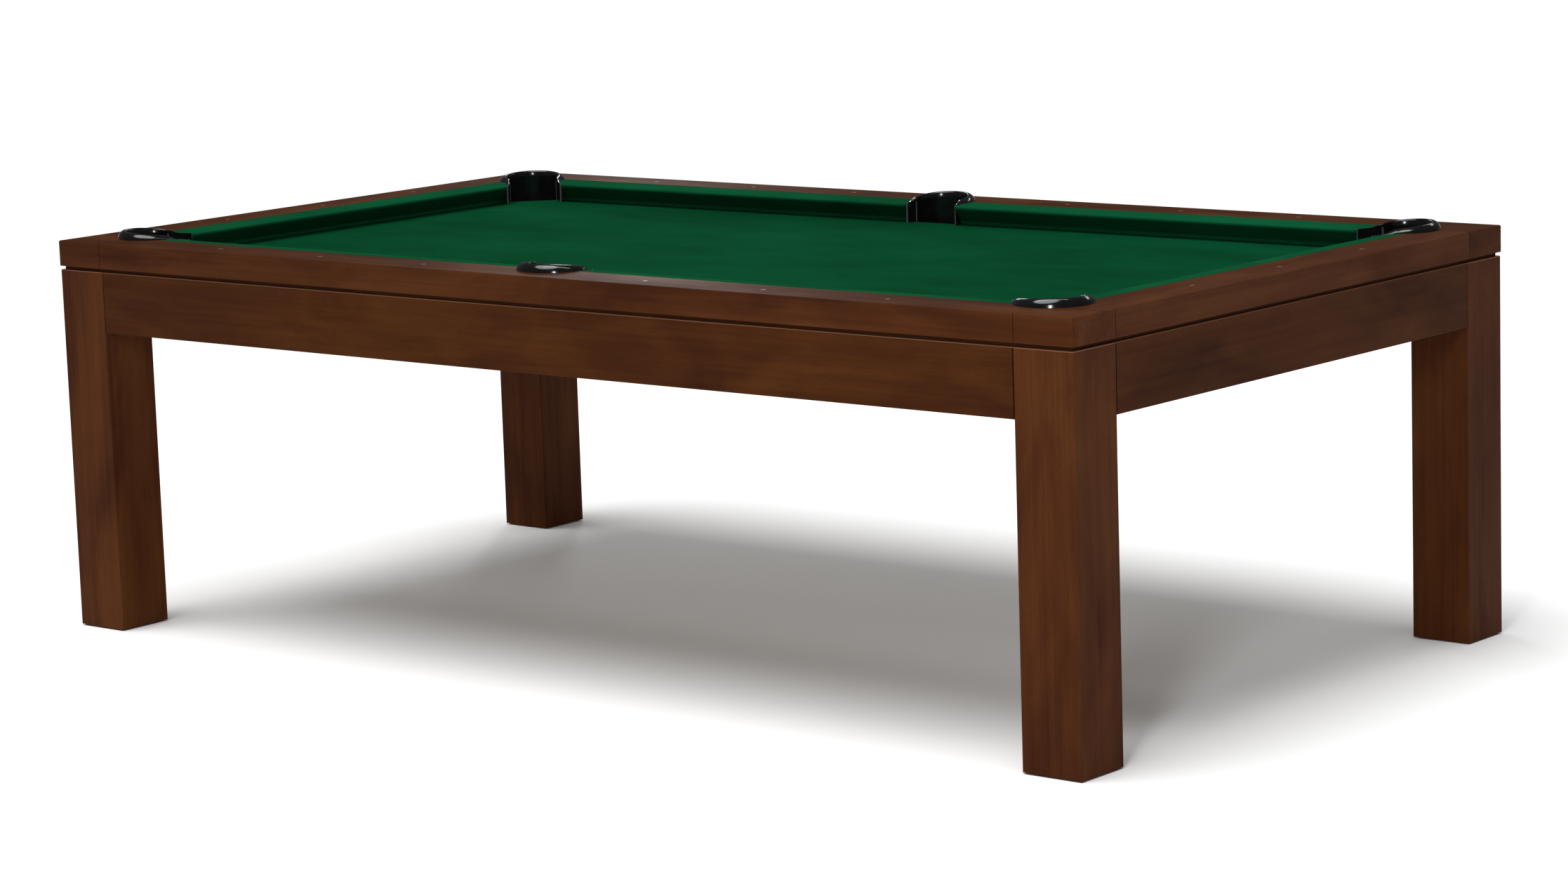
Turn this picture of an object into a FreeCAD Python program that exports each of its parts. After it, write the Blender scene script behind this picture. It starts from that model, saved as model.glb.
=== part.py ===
"""Eight-foot slate pool table: post legs, framed cabinet, three-piece slate, wooden rails, six drop pockets.

Frame: origin on the floor under the middle of the table, +X along its length, +Y across it, +Z up.
The front is -Y and the right end is +X. Every size below is in millimetres.
"""

import FreeCAD, Part
import Sketcher
import math
import os

V = FreeCAD.Vector
doc = FreeCAD.newDocument("pool_table")

# ---------------------------------------------------------------- driving dimensions
DIMENSIONS = {
    "field_length": 2235,  # playing field, cushion nose to cushion nose
    "field_width": 1118,
    "rail_width": 150,  # outer face to cushion nose
    "rail_top": 800,  # height of the rails above the floor
    "bed_drop": 44,  # rail top down to the bed cloth
    "rail_face": 51,  # visible height of the rail's outer face
    "face_thick": 30,  # the part of the rail that hangs over the cabinet
    "shadow_gap": 8,  # recessed line between rail and cabinet
    "shadow_inset": 10,
    "shadow_width": 22,
    "block_size": 125,  # corner block, in plan
    "eased_edge": 1.5,
    "corner_round": 8,
    "seam_ease": 0.8,  # at the upright seams between corner blocks and rails
    "leg_size": 125,
    "leg_bottom": 3,
    "cabinet_inset": 3,
    "apron_height": 124,
    "apron_thick": 25,
    "slate_thick": 25.4,
    "slate_margin": 65,  # slate beyond the playing field
    "slate_joint": 397.5,  # joints between the three slates, either side of the middle
    "cloth_thick": 1,
    "wood_top": 98,  # outer face to the groove of the feather strip
    "strip_width": 2,
    "strip_depth": 8,
    "rubber_depth": 29,  # cushion rubber, glued face to nose
    "nose_height": 36.5,  # cushion nose above the bed
    "nose_thick": 3.5,
    "rubber_foot": 8,  # lowest edge of the rubber above the bed
    "wrap_under": 30,  # cover folded under the rail
    "corner_mouth": 124,  # between the noses at a corner pocket
    "corner_facing": 38,  # angle of the cushion's end to its nose line, in degrees
    "side_mouth": 133,
    "side_facing": 104,
    "corner_offset": 11.5,  # pocket centre outside the nose lines
    "side_offset": 37,
    "corner_join": 24,  # where a facing meets the round hole, from the pocket's centre towards the bed
    "side_join": 8,
    "hole_radius": 60,  # cut in rails, slate and cloth
    "liner_radius": 56.5,
    "flange_radius": 73,
    "flange_edge": 4,
    "collar_rise": 18,
    "corner_arc": 227,  # how far a collar reaches round its pocket, in degrees
    "side_arc": 195,
    "cheek_short": 4,  # a collar's cheeks stop this far from the cushion noses
    "cheek_height": 38,  # above the bed
    "bucket_bottom": 632,
    "bucket_wall": 3,
    "bucket_rim": 66,
    "bucket_rim_thick": 3.5,
    "bucket_round": 18,
    "notch_radius": 68,  # leg cut away round a corner bucket
    "notch_floor": 622,
    "ledger_height": 40,
    "ledger_bearing": 14,  # ledger under the slate's edge
    "ledger_side_start": 80,
    "ledger_side_end": 1060,
    "ledger_end_reach": 500,
    "beam_width": 90,
    "spine_width": 45,
    "spine_place": 220,
    "bolt_line": 26,  # rail bolts in from the slate's edge
    "bolt_radius": 5,
    "bolt_reach": 25,
    "bolt_head": 9,
    "bolt_head_high": 6,
    "sight_radius": 5,
    "sight_depth": 2,
    "screw_radius": 3,
    "screw_head": 5,
    "screw_head_high": 4,
    "screw_length": 50,
    "screw_edge": 7,  # slate screws in from the slate's edge
    "screw_beside_joint": 22,
    "bracket_arm": 60,
    "bracket_flange": 22,
    "bracket_thick": 4,
    "bracket_height": 70,
    "bracket_drop": 15,
    "lag_radius": 3,
    "lag_reach": 18,
    "lag_head": 5.5,
    "lag_head_high": 4,
    "foot_radius": 25,
    "foot_thick": 6,
    "foot_boss": 10,
    "foot_boss_top": 14,
    "stem_radius": 6,
    "stem_top": 78,
    "running_gap": 0.05,
    "recess_radius": 28,
    "recess_top": 24,
    "insert_radius": 9,
    "insert_flange": 14,
    "insert_flange_thick": 2,
    "insert_top": 52,
    "stem_hole": 7,
    "stem_hole_top": 84,
}
sheet = doc.addObject("Spreadsheet::Sheet", "Dimensions")
for row, (alias, number) in enumerate(DIMENSIONS.items(), start=1):
    sheet.set(f"A{row}", alias)
    sheet.set(f"B{row}", str(number))
    sheet.setAlias(f"B{row}", alias)
doc.recompute()


class Size(str):
    """A length written as an expression of the sheet's cells, so that every feature stays bound to them."""

    def __add__(self, other):
        return Size(f"({self} + {other})")

    def __radd__(self, other):
        return Size(f"({other} + {self})")

    def __sub__(self, other):
        return Size(f"({self} - {other})")

    def __rsub__(self, other):
        return Size(f"({other} - {self})")

    def __mul__(self, other):
        return Size(f"({self} * {other})")

    __rmul__ = __mul__

    def __truediv__(self, other):
        return Size(f"({self} / {other})")

    def __neg__(self):
        return Size(f"(0 - {self})")

    @property
    def mm(self):
        """Its value now, in millimetres."""
        value = sheet.evalExpression(str(self))
        return float(getattr(value, "Value", value))


dim = {alias: Size(f"Dimensions.{alias}") for alias in DIMENSIONS}
ZERO = Size("0")

# ---------------------------------------------------------------- places worked out from them
half_length = dim["field_length"] / 2 + dim["rail_width"]
half_width = dim["field_width"] / 2 + dim["rail_width"]
cloth = dim["cloth_thick"]
bed_top = dim["rail_top"] - dim["bed_drop"]
slate_top = bed_top - cloth
slate_bottom = slate_top - dim["slate_thick"]
rail_under = bed_top + cloth
face_bottom = dim["rail_top"] - dim["rail_face"]
cabinet_top = face_bottom - dim["shadow_gap"]
apron_bottom = cabinet_top - dim["apron_height"]
cabinet_x = half_length - dim["cabinet_inset"]
cabinet_y = half_width - dim["cabinet_inset"]
inside_x = cabinet_x - dim["apron_thick"]  # inner faces of the aprons
inside_y = cabinet_y - dim["apron_thick"]
leg_x = cabinet_x - dim["leg_size"]  # inner faces of the legs
leg_y = cabinet_y - dim["leg_size"]
slate_x = dim["field_length"] / 2 + dim["slate_margin"]
slate_y = dim["field_width"] / 2 + dim["slate_margin"]
corner_x = dim["field_length"] / 2 + dim["corner_offset"]
corner_y = dim["field_width"] / 2 + dim["corner_offset"]
side_y = dim["field_width"] / 2 + dim["side_offset"]
rubber_back = dim["rail_width"] - cloth - dim["rubber_depth"]  # from the rail's outer face
nose_top = bed_top + dim["nose_height"] + dim["nose_thick"] / 2
nose_low = bed_top + dim["nose_height"] - dim["nose_thick"] / 2
ledger_low = slate_bottom - dim["ledger_height"]
bracket_low = slate_bottom - dim["bracket_drop"] - dim["bracket_height"]

CORNERS = {"front_left": (-1, -1), "front_right": (1, -1), "rear_left": (-1, 1), "rear_right": (1, 1)}
OUTWARD = {(1, 1): 0, (-1, 1): 90, (-1, -1): 180, (1, -1): 270}  # turn of each corner, in degrees
SIDES = {"front": -1, "rear": 1}
ENDS = {"left": -1, "right": 1}
INWARD_TURN = {"front": 0, "rear": 180, "right": 90, "left": -90}  # turns local +Y to face the bed
SIDE_BOLTS = (200, 580, 900)  # rail bolts along a long side, either side of the middle
END_BOLTS = (-330, 0, 330)
SIDE_SIGHTS = (1, 2, 3)  # eighths of the field's length, either side of the middle
END_SIGHTS = (-1, 0, 1)  # quarters of its width
LEDGER_SCREWS = (260, 620, 960)
JOINT_SCREWS = (-450, -120, 120, 450)
made = {}


# ---------------------------------------------------------------- helpers
def node(name, feature):
    """Names a finished sub-part; its Label is the name of its file."""
    feature.Label = name
    made[name] = feature
    return feature


def both(sign, low, high):
    """A pair of places, mirrored to the other side of the middle when sign is negative."""
    return (low, high) if sign > 0 else (-high, -low)


def box(x, y, z):
    """A Part::Box from a pair of places along each axis."""
    block = doc.addObject("Part::Box", "Block")
    for side, base, (low, high) in zip(("Length", "Width", "Height"), "xyz", (x, y, z)):
        block.setExpression(side, high - low)
        block.setExpression(f"Placement.Base.{base}", low)
    return block


def rod(radius, x, y, z, axis="z"):
    """A Part::Cylinder; along its own axis the place is a pair."""
    place = {"x": x, "y": y, "z": z}
    low, high = place[axis]
    place[axis] = low
    pin = doc.addObject("Part::Cylinder", "Rod")
    turn = {"x": (V(0, 1, 0), 90), "y": (V(1, 0, 0), -90), "z": (V(0, 0, 1), 0)}[axis]
    pin.Placement = FreeCAD.Placement(V(0, 0, 0), FreeCAD.Rotation(*turn))
    pin.setExpression("Radius", radius)
    pin.setExpression("Height", high - low)
    for name, where in place.items():
        pin.setExpression(f"Placement.Base.{name}", str(where))
    return pin


def fuse(parts):
    """Several shapes made one solid."""
    joined = doc.addObject("Part::MultiFuse", "Joined")
    joined.Shapes = parts
    return joined


def group(parts):
    """Several separate solids that share one node."""
    pieces = doc.addObject("Part::Compound", "Pieces")
    pieces.Links = parts
    return pieces


def cut(base, tools):
    """A shape with every tool taken out of it."""
    shape = base
    for tool in tools:
        result = doc.addObject("Part::Cut", "Shaped")
        result.Base = shape
        result.Tool = tool
        shape = result
    return shape


def sketch_on(body, role, outline):
    """A closed outline of straight sides on one of a body's origin planes, every corner bound to the sheet."""
    sketch = body.newObject("Sketcher::SketchObject", "Outline")
    sketch.AttachmentSupport = [(next(f for f in body.Origin.OriginFeatures if f.Role == role), "")]
    sketch.MapMode = "FlatFace"
    points = [V(a.mm, b.mm, 0) for a, b in outline]
    for n, start in enumerate(points):
        sketch.addGeometry(Part.LineSegment(start, points[(n + 1) % len(points)]), False)
    for n, (a, b) in enumerate(outline):
        before = (n - 1) % len(points)
        sketch.addConstraint(Sketcher.Constraint("Coincident", before, 2, n, 1))
        for kind, size in (("DistanceX", a), ("DistanceY", b)):
            index = sketch.addConstraint(Sketcher.Constraint(kind, -1, 1, n, 1, size.mm))
            sketch.setExpression(f"Constraints[{index}]", size)
    return sketch


def stand_at(feature, x, y, turn=0):
    """Places a finished body on the plan, turned about the vertical by some degrees."""
    feature.Placement = FreeCAD.Placement(V(0, 0, 0), FreeCAD.Rotation(V(0, 0, 1), turn))
    feature.setExpression("Placement.Base.x", x)
    feature.setExpression("Placement.Base.y", y)
    return feature


def padded(role, outline, length, low=None):
    """A body of constant section: centred on its plane, or standing on a height when low is given."""
    body = doc.addObject("PartDesign::Body", "Body")
    pad = body.newObject("PartDesign::Pad", "Length")
    pad.Profile = sketch_on(body, role, outline)
    pad.setExpression("Length", length)
    if low is None:
        pad.Midplane = True
    else:
        body.setExpression("Placement.Base.z", low)
    return body


def turned(outline, degrees):
    """A body turned about the vertical, half of the angle either side of +X. The outline is (radius, height)."""
    body = doc.addObject("PartDesign::Body", "Body")
    turn = body.newObject("PartDesign::Revolution", "Turning")
    turn.Profile = sketch_on(body, "XZ_Plane", outline)
    turn.ReferenceAxis = (next(f for f in body.Origin.OriginFeatures if f.Role == "Z_Axis"), [""])
    turn.setExpression("Angle", degrees)
    turn.Midplane = True
    return body


def rail_spans():
    """Name, side of the table, middle and length of each of the six rails."""
    reach = half_length - dim["block_size"]
    spans = []
    for side, sy in SIDES.items():
        for end, sx in ENDS.items():
            spans.append((f"{side}_{end}", side, sx * reach / 2, sy * half_width, reach))
    for end, sx in ENDS.items():
        spans.append((end, end, sx * half_length, ZERO, 2 * (half_width - dim["block_size"])))
    return spans


# ---------------------------------------------------------------- pocket cutters, shared by rails, slate and cloth
class Pocket:
    """One pocket's place and its opening, in a frame with +X away from the bed and its centre at the origin."""

    def __init__(self, x, y, turn, kind):
        self.x = x
        self.y = y
        self.turn = turn
        self.arc = dim[f"{kind}_arc"]
        self.join = dim[f"{kind}_join"]
        self.half_mouth = dim[f"{kind}_mouth"] / 2
        if kind == "corner":
            self.set_back = dim["corner_offset"] * Size("sqrt(2)") + dim["corner_mouth"] / 2
            self.slope = Size(f"tan(45 deg - {dim['corner_facing']} * 1 deg)")
        else:
            self.set_back = dim["side_offset"]
            self.slope = Size(f"tan(({dim['side_facing']} - 90) * 1 deg)")

    def facing(self, x):
        """Half the opening between the two facings at a place x."""
        return self.half_mouth - (x + self.set_back) * self.slope

    def place(self, feature):
        return stand_at(feature, self.x, self.y, self.turn)

    def hole(self):
        """The round hole through rails and cabinet."""
        return rod(dim["hole_radius"], self.x, self.y, (apron_bottom, dim["rail_top"] + 1))

    def jaw(self):
        """The opening between the two cushion ends, as deep as the round hole's middle."""
        low = -self.set_back - 6
        high = -self.join + 30
        outline = [(low, -self.facing(low)), (high, -self.facing(high)), (high, self.facing(high)), (low, self.facing(low))]
        base = bed_top + cloth / 4
        return self.place(padded("XY_Plane", outline, dim["rail_top"] + 1 - base, base))

    def slate_cut(self, hole):
        """The hole in slate and cloth: round at the back, straight across the front where the cheeks begin."""
        reach = dim["hole_radius"] + 5
        outline = [(-reach, -reach), (-self.join, -reach), (-self.join, reach), (-reach, reach)]
        return cut(hole, [self.place(padded("XY_Plane", outline, dim["rail_top"] + 1 - apron_bottom, apron_bottom))])


def make_pocket_frames():
    """All six pockets by name."""
    frames = {name: Pocket(sx * corner_x, sy * corner_y, OUTWARD[sx, sy] + 45, "corner")
              for name, (sx, sy) in CORNERS.items()}
    frames.update({name: Pocket(ZERO, sy * side_y, sy * 90, "side") for name, sy in SIDES.items()})
    return frames


def pockets_of(name):
    """Names of the pockets at the two ends of a rail."""
    if name in ENDS:
        return [f"front_{name}", f"rear_{name}"]
    return [name, name.split("_")[0]]


# ---------------------------------------------------------------- cabinet
def make_leg(name, sx, sy):
    """A square post with eased edges, notched at the top for a bucket and bored below for its foot."""
    size = dim["leg_size"]
    e = dim["eased_edge"]
    outline = [(e, ZERO), (size - e, ZERO), (size, e), (size, size - e),
               (size - e, size), (e, size), (ZERO, size - e), (ZERO, e)]
    post = padded("XY_Plane", outline, cabinet_top - dim["leg_bottom"], dim["leg_bottom"])
    stand_at(post, leg_x if sx > 0 else -cabinet_x, leg_y if sy > 0 else -cabinet_y)
    post.setExpression("Placement.Base.z", dim["leg_bottom"])
    mid_x, mid_y = leg_middle(sx, sy)
    bores = [
        rod(dim["notch_radius"], sx * corner_x, sy * corner_y, (dim["notch_floor"], cabinet_top + 1)),
        rod(dim["recess_radius"], mid_x, mid_y, (ZERO, dim["recess_top"])),
        rod(dim["insert_radius"], mid_x, mid_y, (dim["recess_top"] - 1, dim["insert_top"])),
        rod(dim["stem_hole"], mid_x, mid_y, (dim["insert_top"] - 1, dim["stem_hole_top"])),
    ]
    node(f"leg_{name}", cut(post, bores + lag_bolts(sx, sy, into="leg", heads=False)))


def leg_middle(sx, sy):
    return sx * (cabinet_x - dim["leg_size"] / 2), sy * (cabinet_y - dim["leg_size"] / 2)


def make_apron(name, turn, half_span, face, corners):
    """A board between two legs, its outer edges eased."""
    e = dim["eased_edge"]
    thick = dim["apron_thick"]
    outline = [(e, apron_bottom), (thick, apron_bottom), (thick, cabinet_top), (e, cabinet_top),
               (ZERO, cabinet_top - e), (ZERO, apron_bottom + e)]
    board = padded("YZ_Plane", outline, 2 * half_span)
    along = name.split("_")[0]
    stand_at(board, face[0], face[1], turn)
    lags = [lag for sx, sy in corners for lag in lag_bolts(sx, sy, into=along, heads=False)]
    node(f"{name}_apron", cut(board, lags))


def lag_bolts(sx, sy, into, heads=True):
    """Lag bolts of a corner's two brackets: those into the leg, the side apron or the end apron, or all."""
    bolts = []
    for which, s_run, s_face, leg_face, apron_face in (("side", sx, sy, leg_x, inside_y), ("end", sy, sx, leg_y, inside_x)):
        run = "x" if which == "side" else "y"
        face = "y" if which == "side" else "x"
        for share in (0.2, 0.8):
            height = bracket_low + dim["bracket_height"] * share
            across = apron_face - dim["bracket_flange"] / 2 - 2
            beside = leg_face - dim["bracket_arm"] * 0.6
            if into in ("leg", "all"):
                bolts.append(lag_bolt(run, s_run, leg_face, {face: s_face * across, "z": height}, heads))
            if into in (which, "all"):
                bolts.append(lag_bolt(face, s_face, apron_face, {run: s_run * beside, "z": height}, heads))
    return bolts


def lag_bolt(axis, sign, surface, place, head):
    """One lag bolt through a bracket into the wood behind a surface."""
    top = surface - dim["bracket_thick"]
    place[axis] = both(sign, top, surface + dim["lag_reach"])
    shank = rod(dim["lag_radius"], place["x"], place["y"], place["z"], axis)
    if not head:
        return shank
    place[axis] = both(sign, top - dim["lag_head_high"], top)
    return fuse([shank, rod(dim["lag_head"], place["x"], place["y"], place["z"], axis)])


def bracket(sx, sy, which):
    """A steel angle in the corner between a leg and an apron."""
    thick = dim["bracket_thick"]
    leg_face, apron_face = (leg_x, inside_y) if which == "side" else (leg_y, inside_x)
    s_run, s_face = (sx, sy) if which == "side" else (sy, sx)
    z = (bracket_low, bracket_low + dim["bracket_height"])
    arms = []
    for run, face in (((leg_face - dim["bracket_arm"], leg_face), (apron_face - thick, apron_face)),
                      ((leg_face - thick, leg_face), (apron_face - dim["bracket_flange"], apron_face))):
        spans = [both(s_run, *run), both(s_face, *face)]
        x, y = spans if which == "side" else spans[::-1]
        arms.append(box(x, y, z))
    return fuse(arms)


def make_cabinet():
    for name, (sx, sy) in CORNERS.items():
        make_leg(name, sx, sy)
    for side, sy in SIDES.items():
        corners = [(-1, sy), (1, sy)]
        make_apron(f"side_{side}", INWARD_TURN[side], leg_x, (ZERO, sy * cabinet_y), corners)
    for end, sx in ENDS.items():
        corners = [(sx, -1), (sx, 1)]
        make_apron(f"end_{end}", INWARD_TURN[end], leg_y, (sx * cabinet_x, ZERO), corners)
    angles = []
    lags = []
    for sx, sy in CORNERS.values():
        drills = lag_bolts(sx, sy, into="all", heads=False)
        angles += [cut(bracket(sx, sy, which), drills) for which in ("side", "end")]
        lags += lag_bolts(sx, sy, into="all")
    node("corner_brackets", group(angles))
    node("lag_bolts", group(lags))
    make_reveal()


def make_reveal():
    """Dark strips set back in the line between the cabinet and the rails."""
    z = (cabinet_top, face_bottom)
    out_x = half_length - dim["shadow_inset"]
    out_y = half_width - dim["shadow_inset"]
    width = dim["shadow_width"]
    strips = [box((-out_x, out_x), both(sy, out_y - width, out_y), z) for sy in SIDES.values()]
    strips += [box(both(sx, out_x - width, out_x), (width - out_y, out_y - width), z) for sx in ENDS.values()]
    node("reveal_strips", group(strips))


# ---------------------------------------------------------------- slate, its supports and fixings
def make_supports():
    """Ledgers round the inside of the aprons, beams under the slate joints and spines between them."""
    z = (ledger_low, slate_bottom)
    half_beam = dim["beam_width"] / 2
    ledgers = []
    for sx in ENDS.values():
        for sy in SIDES.values():
            y = both(sy, slate_y - dim["ledger_bearing"], inside_y)
            for low, high in ((dim["ledger_side_start"], dim["slate_joint"] - half_beam),
                              (dim["slate_joint"] + half_beam, dim["ledger_side_end"])):
                ledgers.append(box(both(sx, low, high), y, z))
        x = both(sx, slate_x - dim["ledger_bearing"], inside_x)
        ledgers.append(box(x, (-dim["ledger_end_reach"], dim["ledger_end_reach"]), z))
    beams = []
    for sx in ENDS.values():
        beams.append(box(both(sx, dim["slate_joint"] - half_beam, dim["slate_joint"] + half_beam), (-inside_y, inside_y), z))
    spine_ends = ((-slate_x + dim["ledger_bearing"], -dim["slate_joint"] - half_beam),
                  (-dim["slate_joint"] + half_beam, dim["slate_joint"] - half_beam),
                  (dim["slate_joint"] + half_beam, slate_x - dim["ledger_bearing"]))
    for sy in SIDES.values():
        middle = dim["spine_place"]
        y = both(sy, middle - dim["spine_width"] / 2, middle + dim["spine_width"] / 2)
        beams += [box(span, y, z) for span in spine_ends]
    screws = slate_screws(heads=False)
    node("slate_ledgers", cut(group(ledgers), screws["ledger"]))
    node("slate_beams", cut(group(beams), screws["beam"]))


def slate_screws(heads=True):
    """Screws through the slates: down into the ledgers along the sides, and into the beams at the joints."""
    places = {"ledger": [], "beam": []}
    for sx in ENDS.values():
        for sy in SIDES.values():
            places["ledger"] += [(Size(str(sx * x)), sy * (slate_y - dim["screw_edge"])) for x in LEDGER_SCREWS]
        for step in (-1, 1):
            x = sx * (dim["slate_joint"] + step * dim["screw_beside_joint"])
            places["beam"] += [(x, Size(str(y))) for y in JOINT_SCREWS]
    made_screws = {}
    for kind, spots in places.items():
        made_screws[kind] = [slate_screw(x, y, heads) for x, y in spots]
    return made_screws


def slate_screw(x, y, head):
    shank = rod(dim["screw_radius"], x, y, (slate_top - dim["screw_length"], slate_top))
    cap = rod(dim["screw_head"], x, y, (slate_top - dim["screw_head_high"], slate_top))
    return fuse([shank, cap]) if head else shank


def rail_bolt_places():
    """Each rail bolt's place, by the side of the table it holds."""
    places = {}
    for side, sy in SIDES.items():
        places[side] = [(Size(str(sx * x)), sy * (slate_y - dim["bolt_line"])) for sx in (-1, 1) for x in SIDE_BOLTS]
    for end, sx in ENDS.items():
        places[end] = [(sx * (slate_x - dim["bolt_line"]), Size(str(y))) for y in END_BOLTS]
    return places


def make_slates(slate_cuts):
    """Three slates side by side, a stretched cloth over them, and the bolts and screws through them."""
    joint = dim["slate_joint"]
    spans = {"slate_left": (-slate_x, -joint), "slate_centre": (-joint, joint), "slate_right": (joint, slate_x)}
    gone = [box(both(sx, corner_x, slate_x + 1), both(sy, corner_y, slate_y + 1), (slate_bottom - 1, rail_under))
            for sx, sy in CORNERS.values()]
    shanks = [rod(dim["bolt_radius"], x, y, (slate_bottom - 1, rail_under + dim["bolt_reach"]))
              for spots in rail_bolt_places().values() for x, y in spots]
    bolt_tool = group(shanks)
    screws = slate_screws()
    screw_tool = group(screws["ledger"] + screws["beam"])
    hole_tool = group(slate_cuts + gone)
    for name, span in spans.items():
        plate = box(span, (-slate_y, slate_y), (slate_bottom, slate_top))
        node(name, cut(plate, [hole_tool, bolt_tool, screw_tool]))
    sheet_of_cloth = box((-slate_x, slate_x), (-slate_y, slate_y), (slate_top, bed_top))
    node("bed_cloth", cut(sheet_of_cloth, [hole_tool, bolt_tool]))
    node("slate_screws", screw_tool)
    bolts = []
    for spots in rail_bolt_places().values():
        for x, y in spots:
            shank = rod(dim["bolt_radius"], x, y, (slate_bottom, rail_under + dim["bolt_reach"]))
            cap = rod(dim["bolt_head"], x, y, (slate_bottom - dim["bolt_head_high"], slate_bottom))
            bolts.append(fuse([shank, cap]))
    node("rail_bolts", group(bolts))
    return bolt_tool


# ---------------------------------------------------------------- rails and cushions
def rail_outline():
    """Section of a wooden rail, from its outer face inward."""
    e = dim["eased_edge"]
    top = dim["rail_top"]
    groove = dim["wood_top"]
    step = groove + dim["strip_width"]
    return [(ZERO, face_bottom), (dim["face_thick"], face_bottom), (dim["face_thick"], rail_under),
            (rubber_back, rail_under), (rubber_back, top - cloth), (step, top - cloth),
            (step, top - dim["strip_depth"]), (groove, top - dim["strip_depth"]), (groove, top),
            (e, top), (ZERO, top - e)]


def rubber_outline():
    """Section of the cushion rubber: a triangle with a blunt nose."""
    nose = dim["rail_width"] - cloth
    return [(rubber_back, bed_top + dim["rubber_foot"]), (nose, nose_low), (nose, nose_top),
            (rubber_back, dim["rail_top"] - cloth)]


def cover_outline():
    """Section of the cloth over a cushion: from the feather strip over the nose and under the rail."""
    top = dim["rail_top"]
    start = dim["wood_top"] + dim["strip_width"]
    nose = dim["rail_width"]
    foot = bed_top + dim["rubber_foot"]
    under = rubber_back - dim["wrap_under"]
    return [(start, top), (rubber_back, top), (nose, nose_top + cloth * 0.85), (nose, nose_low - cloth * 0.45),
            (rubber_back + cloth, foot - cloth * 0.44), (rubber_back + cloth, bed_top), (under, bed_top),
            (under, rail_under), (rubber_back, rail_under), (rubber_back, foot), (nose - cloth, nose_low),
            (nose - cloth, nose_top), (rubber_back, top - cloth), (start, top - cloth)]


def strip_outline():
    top = dim["rail_top"]
    start = dim["wood_top"]
    end = start + dim["strip_width"]
    return [(start, top - dim["strip_depth"]), (end, top - dim["strip_depth"]), (end, top), (start, top)]


def sight_rods():
    """Each sight's short cylinder, by the side of the table it is let into."""
    middle = dim["wood_top"] / 2
    z = (dim["rail_top"] - dim["sight_depth"], dim["rail_top"])
    rods = {}
    for side, sy in SIDES.items():
        rods[side] = [rod(dim["sight_radius"], dim["field_length"] * (sx * n / 8), sy * (half_width - middle), z)
                      for sx in (-1, 1) for n in SIDE_SIGHTS]
    for end, sx in ENDS.items():
        rods[end] = [rod(dim["sight_radius"], sx * (half_length - middle), dim["field_width"] * (n / 4), z)
                     for n in END_SIGHTS]
    return rods


def make_rails(holes, jaws, bolt_tool):
    """Six rails with their rubber, cover and feather strip, all cut to the pockets at their ends."""
    sights = sight_rods()
    sight_tool = group([pin for pins in sights.values() for pin in pins])
    strips = []
    for name, side, x, y, length in rail_spans():
        turn = INWARD_TURN[side]
        ends = pockets_of(name)
        openings = [holes[pocket] for pocket in ends] + [jaws[pocket] for pocket in ends]
        wood = stand_at(padded("YZ_Plane", rail_outline(), length), x, y, turn)
        node(f"rail_{name}", cut(wood, openings + [sight_tool, bolt_tool]))
        rubber = stand_at(padded("YZ_Plane", rubber_outline(), length), x, y, turn)
        node(f"cushion_{name}", cut(rubber, openings))
        cover = stand_at(padded("YZ_Plane", cover_outline(), length), x, y, turn)
        node(f"rail_cloth_{name}", cut(cover, openings + [bolt_tool]))
        strips.append(cut(stand_at(padded("YZ_Plane", strip_outline(), length), x, y, turn), openings))
    node("feather_strips", group(strips))
    node("sights", group([pin for pins in sights.values() for pin in pins]))


def ease_top(body, low_x, low_y, high):
    """Chamfers a body's top edges that lie beyond low_x or low_y from its own origin."""
    doc.recompute()
    pad = body.Tip
    names = []
    for n, edge in enumerate(pad.Shape.Edges, start=1):
        ends = [v.Point for v in edge.Vertexes]
        outside = all(p.x > low_x for p in ends) or all(p.y > low_y for p in ends)
        if outside and all(abs(p.z - high) < 0.01 for p in ends):
            names.append(f"Edge{n}")
    eased = body.newObject("PartDesign::Chamfer", "Eased")
    eased.Base = (pad, names)
    eased.setExpression("Size", dim["eased_edge"])


def make_corner_block(name, sx, sy, hole, opening):
    """The square block that closes a corner: outer edge rounded, seams eased and underside cut back."""
    size = dim["block_size"]
    r = dim["corner_round"]
    e = r * 0.293
    v = dim["seam_ease"]
    outline = [(-size, -size), (-v, -size), (ZERO, v - size), (ZERO, -r), (-e, -e), (-r, ZERO),
               (v - size, ZERO), (-size, -v)]
    block = padded("XY_Plane", outline, dim["rail_face"], face_bottom)
    ease_top(block, -e.mm - 0.01, -e.mm - 0.01, dim["rail_face"].mm)
    stand_at(block, sx * half_length, sy * half_width, OUTWARD[sx, sy])
    block.setExpression("Placement.Base.z", face_bottom)
    lip_x = both(sx, half_length - size - 1, half_length - dim["face_thick"])
    lip_y = both(sy, half_width - size - 1, half_width - dim["face_thick"])
    hollow = box(lip_x, lip_y, (face_bottom - 1, rail_under))
    node(f"corner_block_{name}", cut(block, [hollow, hole, opening]))


# ---------------------------------------------------------------- pockets
def collar_outline():
    """Section of a pocket's moulding: a thin wall down the hole and a crowned flange over the rail."""
    inner = dim["liner_radius"]
    outer = dim["flange_radius"]
    hole = dim["hole_radius"]
    top = dim["rail_top"]
    rise = dim["collar_rise"]
    span = outer - inner
    return [(inner, slate_bottom), (hole, slate_bottom), (hole, top), (outer, top), (outer, top + dim["flange_edge"]),
            (inner + span * 0.72, top + rise * 0.8), (inner + span * 0.42, top + rise),
            (inner + span * 0.14, top + rise * 0.9), (inner, top + rise * 0.6)]


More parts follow.
